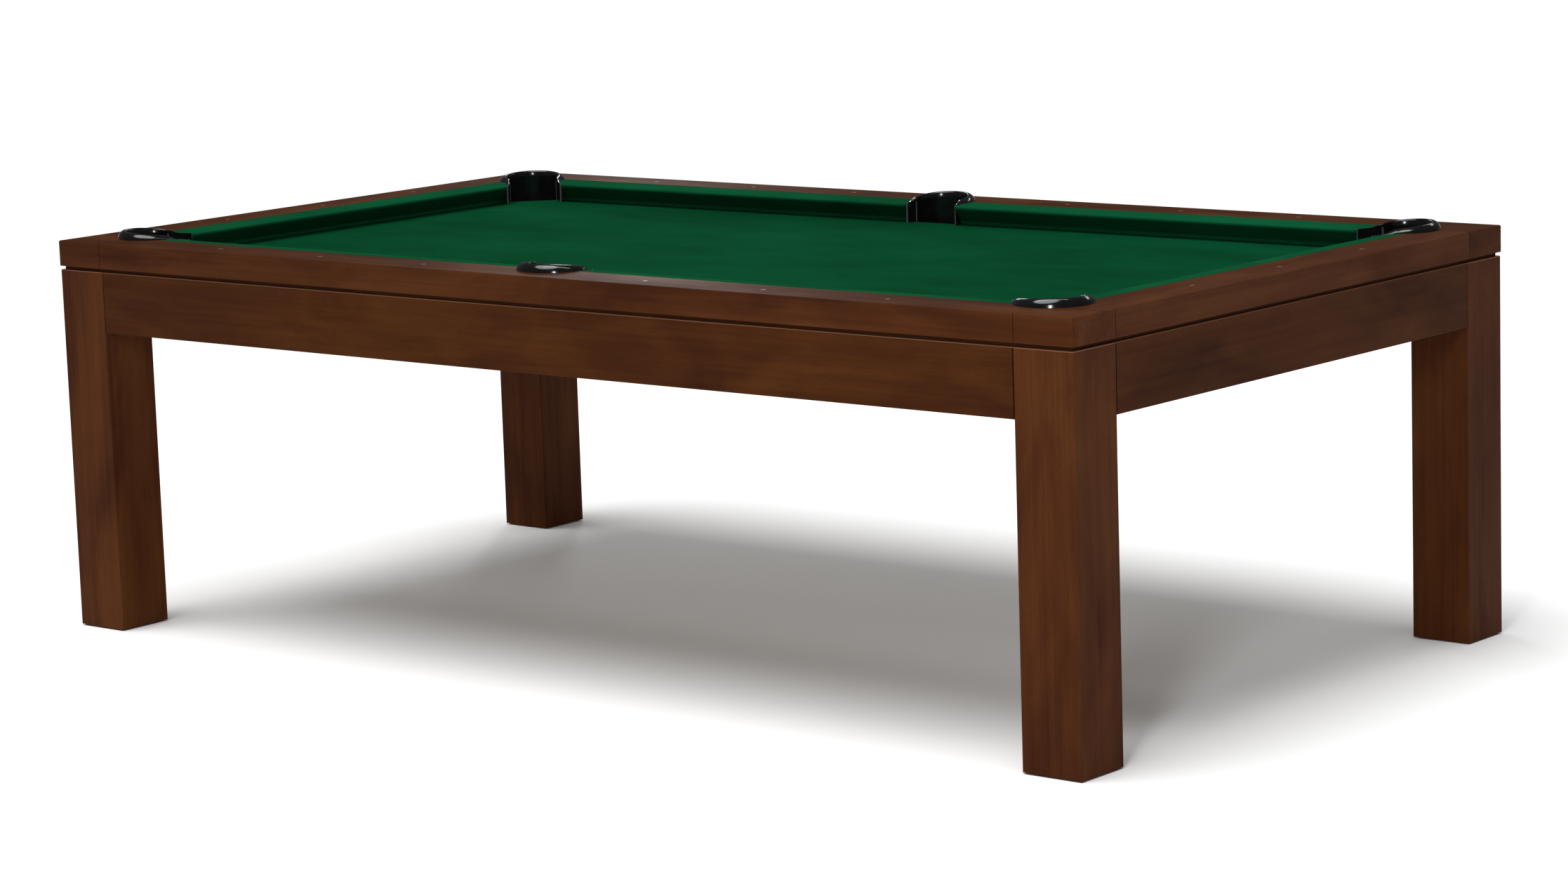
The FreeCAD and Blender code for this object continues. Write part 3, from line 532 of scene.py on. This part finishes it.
# %% Cover section
# depth in from the rail's outer face, and height
cover_corners = np.array([
    (WOOD_TOP + STRIP + 0.2 * MM, RAIL_TOP - 5 * MM),  # down in the groove
    (WOOD_TOP + STRIP + 0.3 * MM, RAIL_TOP + 0.3 * MM),  # rolled over the groove's edge
    (RUBBER_BACK + 4 * MM, RAIL_TOP - 0.1 * MM),  # where the rubber starts to slope
    (RAIL_WIDTH + 0.2 * MM, BED_TOP + 39.6 * MM),  # over the nose
    (RAIL_WIDTH + 0.2 * MM, BED_TOP + 34.0 * MM),  # under the nose
    (RUBBER_BACK + 1.2 * MM, BED_TOP + 7.3 * MM),  # foot of the rubber
    (RUBBER_BACK + 1.2 * MM, BED_TOP + 0.2 * MM),  # lower edge of the wood
    (RUBBER_BACK - 20 * MM, BED_TOP + 0.2 * MM),  # stapled edge
])
cover_radii = np.array([0.01, 1.6, 5, 3.0, 2.6, 2, 1.5, 0.01]) * MM
outer_line = rounded(cover_corners, cover_radii)[ARC_POINTS - 1:1 - ARC_POINTS]
# the under side lies one thickness away, along the section's normal: its direction turned a quarter
way = np.gradient(outer_line, axis=0)
way /= np.linalg.norm(way, axis=1, keepdims=True)
inner_line = outer_line + np.stack([way[:, 1], -way[:, 0]], axis=1) * CLOTH
cover_section = np.concatenate([outer_line, inner_line[::-1]])

# %% [markdown]
# The section now runs along each rail. Sixty rows are more than a straight cover needs, but the ends are
# cut by a round hole, and close rows keep that cut smooth. The cover is closed at both ends.

# %% Covers
for rail in RAILS:
    grid = along_rail(rail, cover_section[:, 0], cover_section[:, 1], 60, FACING_SKIN)
    cover = surface(f"cushion_cover_{rail}", grid, around=True, ends=True, sharp=50)
    dress(cover, rail_cloth_material)
    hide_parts(f"rail_cloth_{rail}")

# %% [markdown]
# The cloth also folds over each cushion's cut end. It is a separate skin here: straight rulings between
# the top line and the under line of the section, on the facing and on the edge of the hole. The cover is
# only a skin, so without this fold the bare rubber would show.


# %% End caps of the cushions
RULINGS = 7  # points on each upright ruling


def end_cap(rail, which):
    """The cloth over a cushion's end: (1 - t) * top line + t * under line, then the same a cloth further in.

    which is 0 at the start of the rail's run and 1 at its end.
    """
    depth = np.linspace(RUBBER_BACK - 2 * MM, RAIL_WIDTH + 0.1 * MM, 16)
    nose_top, nose_low, foot = BED_TOP + 38.6 * MM, BED_TOP + 34.6 * MM, BED_TOP + 3 * MM
    share = (depth - depth[0]) / (depth[-1] - depth[0])
    top = RAIL_TOP - 0.2 * MM + (nose_top - RAIL_TOP) * share ** 1.1
    low = foot + (nose_low - foot) * np.clip((share - 0.06) / 0.94, 0, 1)
    outer = along_rail(rail, depth, top, 2, FACING_SKIN)[which]
    under = along_rail(rail, depth, low, 2, FACING_SKIN)[which]
    direction, _, half = RAILS[rail]
    inward = np.zeros(3)
    inward["xy".index(direction)] = (-1 if which else 1) * (1 if half >= 0 else -1) * CLOTH
    t = np.linspace(0, 1, RULINGS)[:, None, None]
    front = outer[None] * (1 - t) + under[None] * t
    return np.concatenate([front, (front + inward)[::-1]])


for rail in RAILS:
    for which in (0, 1):
        grid = end_cap(rail, which)
        cap = surface(f"cushion_end_{rail}_{'AB'[which]}", grid.transpose(1, 0, 2), around=True, ends=True,
                      sharp=50)
        dress(cap, rail_cloth_material)

# %% [markdown]
# ## Feather strips
# A thin strip is pressed into the groove on top of the tucked cloth. It is covered with the same cloth
# and stands a hair proud, which draws the fine bright line between wood and cushion. Its section is six
# points, with the two top edges taken off, carried along the rail as the covers are.

# %% Feather strips
strip_depth = WOOD_TOP + np.array([0.05, 0.05, 0.6, 1.4, 1.95, 1.95]) * MM
strip_height = RAIL_TOP + np.array([-7.8, 0.1, 0.6, 0.6, 0.1, -7.8]) * MM
for rail in RAILS:
    grid = along_rail(rail, strip_depth, strip_height, 30)
    strip = surface(f"feather_strip_{rail}", grid, around=True, ends=True)
    dress(strip, rail_cloth_material)
    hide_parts("feather_strips")
print("feather strips:", len(RAILS), "of", round(float(np.ptp(strip_depth)) / MM, 2), "mm")

# %% [markdown]
# ## Bed cloth
# One sheet is stretched over the three slates and turned down into each pocket over the slate's rounded
# edge. The slate runs out to a straight line between the moulding's two cheeks, and the hole behind that
# line is round. The grid's rows run across the table, and each column has its own width: full over most of
# the table, out to the straight line at a side pocket, and out to the slanting line or the round hole at a
# corner. Extra points at each side roll the cloth down over the edge.

# %% Bed cloth
BRINK = 1 * MM  # the columns on either side of a step in width stand this far apart
diagonal = CORNER_JOIN * math.sqrt(2)
# how far the slanting line runs along X from the pocket's centre, before it meets the round hole
slant_end = math.sqrt((HOLE ** 2 - CORNER_JOIN ** 2) / 2) + CORNER_JOIN / math.sqrt(2)
corner_columns = CORNER_POCKET[0] + np.concatenate([np.linspace(-slant_end, HOLE, 60), [-slant_end - BRINK]])
bed_x = np.unique(np.round(np.concatenate([
    np.linspace(-SLATE[0], SLATE[0], 121), np.linspace(-HOLE, HOLE, 9), [-HOLE - BRINK, HOLE + BRINK],
    -corner_columns, corner_columns,
]), 6))
bed_x = bed_x[np.abs(bed_x) <= SLATE[0]]
reach = np.full(bed_x.shape, SLATE[1])
reach[np.abs(bed_x) < HOLE + BRINK / 2] = SIDE_POCKET - SIDE_JOIN
from_corner = np.abs(bed_x) - CORNER_POCKET[0]
near_corner = from_corner > -slant_end - BRINK / 2
round_edge = -np.sqrt(np.clip(HOLE ** 2 - from_corner[near_corner] ** 2, 0, None))
reach[near_corner] = CORNER_POCKET[1] + np.maximum(-diagonal - from_corner[near_corner], round_edge)
# the roll over the slate's edge: how far in from the edge, and how far up
roll = np.array([(3.2, 0), (2.2, -0.15), (1.2, -0.6), (0.5, -1.4), (0.1, -2.6), (0.1, -8.0)]) * MM
across = np.linspace(-1, 1, 91)
flat_y = across[None, :] * (reach[:, None] - roll[0, 0])
edge_y = reach[:, None] - roll[None, 1:, 0]
bed_y = np.concatenate([-edge_y[:, ::-1], flat_y, edge_y], axis=1)
bed_z = BED_TOP + np.concatenate([roll[:0:-1, 1], np.zeros(len(across)), roll[1:, 1]])[None] + 0 * bed_y
bed_grid = np.stack([bed_x[:, None] + 0 * bed_y, bed_y, bed_z], axis=-1)
bed = surface("stretched_bed_cloth", bed_grid, sharp=60)
thickness = bed.modifiers.new("cloth thickness", "SOLIDIFY")
thickness.thickness = CLOTH
thickness.offset = -1
dress(bed, bed_cloth_material)
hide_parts("bed_cloth")
print("bed cloth:", bed_grid.shape[0], "by", bed_grid.shape[1], "points")

# %% [markdown]
# ## Pocket mouldings
# Each pocket has one black moulding, a horseshoe in plan: round at the back and straight along the two
# cushion ends. Its wall lines the hole, and its crown rolls out over the rail, highest at the back. The
# crown falls towards two pointed wings that lie on the cushions, and ahead of them only the wall is left,
# down to the bed. It could be a bent tube and a bent sheet joined up, but then the crown couldn't narrow
# to its wings; here the surface is one section carried along the horseshoe, with its sizes worked out anew
# at each place. In the pocket's own plan, u points away from the bed and v along the table's edge.


# %% Plan of a pocket
ROUND_ROWS = 49  # places from the back of the round part to its join with a cheek
RIB_AT, RIB_HALF, RIB_HEIGHT = 1.4 * MM, 1.3 * MM, 1.5 * MM  # the rib where a cheek begins
RIB_ROW = 3  # its crest is at the third place along a cheek
# places along a cheek, close together at the rib, and at its front edge, counted back from it
CHEEK = np.array([0.3, 0.8, 1.4, 2.0, 2.6, 3.4, 6, 10, 14, 18, 22, 26, 30, 36, 44, 60]) * MM
CHEEK_FRONT = np.array([2.0, 1.2, 0.6, 0.2, 0]) * MM
CHEEK_THICK, CHEEK_THIN = 3.2 * MM, 1.4 * MM  # along the cheek, and at its very edge


def smooth(x, low, high):
    """Rises from 0 at low to 1 at high: t * t * (3 - 2 t)."""
    t = np.clip((x - low) / (high - low), 0, 1)
    return t * t * (3 - 2 * t)


def horseshoe(join, near, half_mouth, set_back, slope):
    """Plan lines of one pocket: inner wall, outer wall, the crown's outward direction, and two measures.

    The round part is r (cos a, sin a). A cheek runs straight to the nose, at v = half_mouth - (u + set_back)
    * slope, and both its rib and its front edge are quarter rounds, the square root of 1 - x squared. The
    measures are the share of the round part gone (0 at the back, 1 at the join) and the distance run along
    a cheek. All are worked out for one half, from the back to the nose, and mirrored.
    """
    share = np.linspace(0, 1, ROUND_ROWS)
    outer_turn, inner_turn = share * math.acos(-join / HOLE), share * math.acos(-join / LINER)
    outer = (HOLE - 0.1 * MM) * np.stack([np.cos(outer_turn), np.sin(outer_turn)], axis=1)
    inner = LINER * np.stack([np.cos(inner_turn), np.sin(inner_turn)], axis=1)
    facing_turn = math.pi / 2 - math.atan(slope)
    turn = np.minimum(outer_turn, facing_turn)
    length = near - join
    along = np.concatenate([CHEEK[CHEEK < length - 3 * MM], length - CHEEK_FRONT])
    u = -join - along
    # the cheek stands clear of the cloth folded over the cushion's end
    v = half_mouth - (u + set_back) * slope - (FACING_SKIN + 0.1 * MM) * smooth(along, 0, 4 * MM)
    front = np.clip(1 - (near + u) / CHEEK_FRONT[0], 0, 1)
    rib = RIB_HEIGHT * np.sqrt(np.clip(1 - ((along - RIB_AT) / RIB_HALF) ** 2, 0, None))
    thick = CHEEK_THIN + (CHEEK_THICK - CHEEK_THIN) * np.sqrt(np.clip(1 - front ** 2, 0, None)) + rib
    outer = np.concatenate([outer, np.stack([u, v], axis=1)])
    inner = np.concatenate([inner, np.stack([u, v - thick], axis=1)])
    turn = np.concatenate([turn, np.full(u.shape, facing_turn)])
    share = np.concatenate([share, np.ones(u.shape)])
    run = np.concatenate([np.zeros(ROUND_ROWS), along])
    mirror = np.array([1, -1])
    back = slice(None, 0, -1)
    lines = [np.concatenate([line[back] * mirror, line]) for line in (inner, outer)]
    return (*lines, np.concatenate([-turn[back], turn]),
            *[np.concatenate([measure[back], measure]) for measure in (share, run)])


corner_half_mouth = CORNER_SET_BACK / math.sqrt(2)
corner_to_nose = CORNER_OFFSET * math.sqrt(2) + corner_half_mouth
PLANS = {
    "corner": horseshoe(CORNER_JOIN, corner_to_nose - CHEEK_SHORT, corner_half_mouth, corner_to_nose,
                        math.tan(math.radians(45) - CORNER_FACING)),
    "side": horseshoe(SIDE_JOIN, SIDE_OFFSET - CHEEK_SHORT, SIDE_HALF_MOUTH, SIDE_OFFSET, math.tan(SIDE_FACING)),
}
print("places along a moulding:", {kind: len(plan[0]) for kind, plan in PLANS.items()})

# %% [markdown]
# The section starts at the foot of the inner wall, climbs it, rolls over the crown to the flange's edge on
# the rail, and comes back under it and down the outside. The crown is half a sine wave, raised to a power
# below one, which makes it full like a rolled edge.

# %% Section of a moulding
WALL_POINTS = 8
CROWN_POINTS = 17
CROWN, CROWN_DROP = 16.5 * MM, 9.5 * MM  # height over the rail at the back, and how much of it is lost at a cheek
FLANGE, FLANGE_DROP = 13.0 * MM, 1.5 * MM  # width at the back, and how much of it is lost at a cheek
WING = {"corner": 26 * MM, "side": 20 * MM}  # length of the pointed wings
WING_HEIGHT, WING_WIDTH = 0.7 * MM, 0.3 * MM  # at the very tip
NOSE_DROP = 4.2 * MM  # a cushion's cover is this much lower at its nose than at the rail
SEAM = 0.1 * MM  # the flange's under side is this far below its edge


def moulding(centre, turn, kind):
    """The section carried along the horseshoe.

    With s from 0 at the wall to 1 at the flange's edge, the crown's height is crest * (1 - 0.2 s) times the
    square root of sin(pi * (0.18 + 0.82 s to the power 0.85)).
    """
    inner, outer, aim, share, run = PLANS[kind]
    share, run, aim = share[:, None], run[:, None], aim[:, None]
    tip = smooth(run, 0, WING[kind])
    crest = (CROWN - CROWN_DROP * share ** 2.2) * (1 - tip) + WING_HEIGHT * tip
    width = (FLANGE - FLANGE_DROP * share ** 3) * (1 - np.clip(run / WING[kind], 0, 1)) ** 0.8 + WING_WIDTH
    rest = RAIL_TOP - NOSE_DROP * run / run.max() + 0.15 * MM + 0.55 * MM * smooth(share, 0.75, 0.95)
    direction = np.concatenate([np.cos(aim), np.sin(aim)], axis=1)
    edge = outer + direction * width
    s = np.linspace(0, 1, CROWN_POINTS)[None]
    crown = inner[:, None] * (1 - s[:, :, None]) + edge[:, None] * s[:, :, None]
    bulge = np.sin(np.pi * np.clip(s ** 0.85 * 0.82 + 0.18, 0, 1)) ** 0.5
    crown_z = rest + crest * bulge * (1 - 0.2 * s)
    low = np.where(run > 0.5 * MM, BED_TOP + 0.3 * MM, SLATE_LOW)
    wall = np.repeat(inner[:, None], WALL_POINTS, axis=1)
    wall_z = low + (crown_z[:, :1] - low) * np.arange(WALL_POINTS)[None] / WALL_POINTS
    under = np.stack([outer + direction * np.maximum(width - 0.6 * MM, 0.15 * MM), outer, outer], axis=1)
    under_z = rest - SEAM
    plane = np.concatenate([wall, crown, under], axis=1)
    height = np.concatenate([wall_z, crown_z, under_z, under_z, low], axis=1)
    cosine, sine = math.cos(turn), math.sin(turn)
    x = centre[0] + plane[:, :, 0] * cosine - plane[:, :, 1] * sine
    y = centre[1] + plane[:, :, 0] * sine + plane[:, :, 1] * cosine
    return np.stack([x, y, height], axis=-1)


print("points round a moulding's section:", moulding((0, 0), 0, "side").shape[1])

# %% [markdown]
# The two front ends of a moulding are flat, but their outline bends in at the crown, so the strips that
# close a cushion cover would cross it. One face fills each end and is then cut into triangles. After that
# all six are placed, each turned to face away from the bed.

# %% Six mouldings
CREASE = 42  # degrees


def closed_moulding(name, grid):
    """A moulding whose two ends, which are flat sections, are each filled with one face cut into triangles."""
    piece = surface(name, grid, around=True, sharp=CREASE, body=None)
    shell = bmesh.new()
    shell.from_mesh(piece.data)
    rim = [edge for edge in shell.edges if edge.is_boundary]
    filled = bmesh.ops.holes_fill(shell, edges=rim)
    bmesh.ops.triangulate(shell, faces=filled["faces"])
    bmesh.ops.recalc_face_normals(shell, faces=shell.faces)
    shell.to_mesh(piece.data)
    shell.free()
    piece.data.set_sharp_from_angle(angle=math.radians(CREASE))
    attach(piece, "table")
    return piece


def lighten_edges(piece, edges):
    """Gives the rounded upright edges, within 2 mm of the points in plan, the paler grey: their wear and a painted
    highlight.
    """
    piece.data.materials.append(edge_wear_and_highlight)
    centres = np.empty(3 * len(piece.data.polygons))
    piece.data.polygons.foreach_get("center", centres)
    centres = centres.reshape(-1, 3)
    away = np.min([np.hypot(*(centres[:, :2] - edge).T) for edge in edges], axis=0)
    worn_and_highlighted = (away < 2.0 * MM) & (centres[:, 2] > BED_TOP) & (centres[:, 2] < RAIL_TOP - 1 * MM)
    piece.data.polygons.foreach_set("material_index", worn_and_highlighted.astype(np.int32))


# each pocket's centre, the direction it faces away from the bed, and its kind
POCKETS = {
    f"{row}_{end}": ((sx * CORNER_POCKET[0], sy * CORNER_POCKET[1]), math.atan2(sy, sx), "corner")
    for row, sy in (("front", -1), ("rear", 1)) for end, sx in (("left", -1), ("right", 1))
}
POCKETS["front"] = ((0.0, -SIDE_POCKET), -math.pi / 2, "side")
POCKETS["rear"] = ((0.0, SIDE_POCKET), math.pi / 2, "side")
for pocket, (centre, turn, kind) in POCKETS.items():
    grid = moulding(centre, turn, kind)
    piece = closed_moulding(f"pocket_moulding_{pocket}", grid)
    dress(piece, moulding_black)
    # the upright edges get the paler grey, a painted highlight together with their wear
    rib = grid.shape[0] // 2 - (ROUND_ROWS - 1) - RIB_ROW
    lighten_edges(piece, [grid[row, 0, :2] for row in (0, rib, -1 - rib, -1)])
    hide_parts(f"pocket_collar_{pocket}")
print("pockets:", len(POCKETS))

# %% [markdown]
# ## Floor, light and camera
# A plain pale floor runs out into a white world, so far that no horizon shows. A broad soft sun stands
# almost overhead, a little to the front left, so the tops are lightest, the long front next and the end
# darkest. The floor is one face, because a curved backdrop would bend the shadow of the table.

# %% Floor and world
FLOOR = 60.0  # half its side
floor_mesh = bpy.data.meshes.new("studio_floor")
floor_corners = [(-FLOOR, -FLOOR, 0), (FLOOR, -FLOOR, 0), (FLOOR, FLOOR, 0), (-FLOOR, FLOOR, 0)]
floor_mesh.from_pydata(floor_corners, [], [(0, 1, 2, 3)])
floor = bpy.data.objects.new("studio_floor", floor_mesh)
bpy.context.scene.collection.objects.link(floor)
paper, _, paper_shader = new_material("white_studio_paper", Roughness=0.9)
paper_shader.inputs["Base Color"].default_value = linear("#fafafa")
dress(floor, paper)

world = bpy.data.worlds.new("studio")
world.use_nodes = True
bpy.context.scene.world = world
sky = world.node_tree
sky.nodes.clear()
# the backdrop is seen white; as light it is a third as strong, and in reflections a quarter of that third
ray = add(sky, "ShaderNodeLightPath")
lighting = add(sky, "ShaderNodeMapRange", {0: ray.outputs["Is Camera Ray"], 3: 0.34, 4: 1.0}).outputs[0]
mirrored = add(sky, "ShaderNodeMapRange", {0: ray.outputs["Is Glossy Ray"], 3: 1.0, 4: 0.25}).outputs[0]
strength = add(sky, "ShaderNodeMath", {0: lighting, 1: mirrored}, operation="MULTIPLY").outputs[0]
backdrop = add(sky, "ShaderNodeBackground", {"Color": (1.0, 1.0, 1.0, 1.0), "Strength": strength})
add(sky, "ShaderNodeOutputWorld", {"Surface": backdrop.outputs[0]})
print("floor:", 2 * FLOOR, "m square")

# %% [markdown]
# The sun and the world do most of the lighting. A tall window and three strips of light are weak, and are
# there for the polished mouldings, which show each of them as a highlight.


# %% Lamps
def lamp(kind, name, place, aim, energy, **settings):
    """A lamp at a place, turned towards a point."""
    data = bpy.data.lights.new(name, kind)
    data.energy = energy
    for key, value in settings.items():
        setattr(data, key, value)
    light = bpy.data.objects.new(name, data)
    light.location = place
    light.rotation_euler = (Vector(aim) - Vector(place)).to_track_quat("-Z", "Y").to_euler()
    bpy.context.scene.collection.objects.link(light)


MIDDLE = (0, 0, 0.8)  # the strips and the window are turned towards the middle of the rail's top
lamp("SUN", "overhead", (-0.5, -1.3, 4.6), (0, 0, 0), 2.55, angle=math.radians(46))
lamp("AREA", "window", (2.8, -4.0, 2.4), MIDDLE, 60, shape="RECTANGLE", size=0.5, size_y=1.2)
lamp("AREA", "strip_left", (-2.6, 2.6, 2.6), MIDDLE, 14, shape="RECTANGLE", size=0.3, size_y=1.6)
lamp("AREA", "strip_behind", (0.6, 3.8, 3.0), MIDDLE, 12, shape="RECTANGLE", size=2.4, size_y=0.3)
lamp("AREA", "strip_above", (0.6, -0.6, 4.2), MIDDLE, 30, shape="RECTANGLE", size=3.4, size_y=0.25)
print("lamps:", [light.name for light in bpy.data.lights])

# %% [markdown]
# The camera stands off the front right corner, about a metre above the rails, with a long lens: uprights
# stay nearly parallel. Its three axes are worked out from two angles and a tilt, and make its matrix.

# %% Camera
SENSOR, LENS = 36, 98.83  # mm
PLACE = (5.420, -6.502, 1.792)
azimuth, elevation, tilt = (math.radians(angle) for angle in (39.556, 9.460, -1.841))
level = Vector((math.cos(azimuth), math.sin(azimuth), 0))
forward = Vector((-math.sin(azimuth) * math.cos(elevation), math.cos(azimuth) * math.cos(elevation),
                  -math.sin(elevation)))
upward = level.cross(forward)
right = level * math.cos(tilt) + upward * math.sin(tilt)
above = -level * math.sin(tilt) + upward * math.cos(tilt)
camera_data = bpy.data.cameras.new("camera")
camera_data.sensor_width = SENSOR
camera_data.lens = LENS
camera = bpy.data.objects.new("camera", camera_data)
camera.matrix_world = Matrix.Translation(PLACE) @ Matrix((right, above, -forward)).transposed().to_4x4()
bpy.context.scene.collection.objects.link(camera)
bpy.context.scene.camera = camera
bpy.context.scene.view_settings.view_transform = "Standard"
print("view across:", round(math.degrees(2 * math.atan(SENSOR / 2 / LENS)), 1), "degrees")
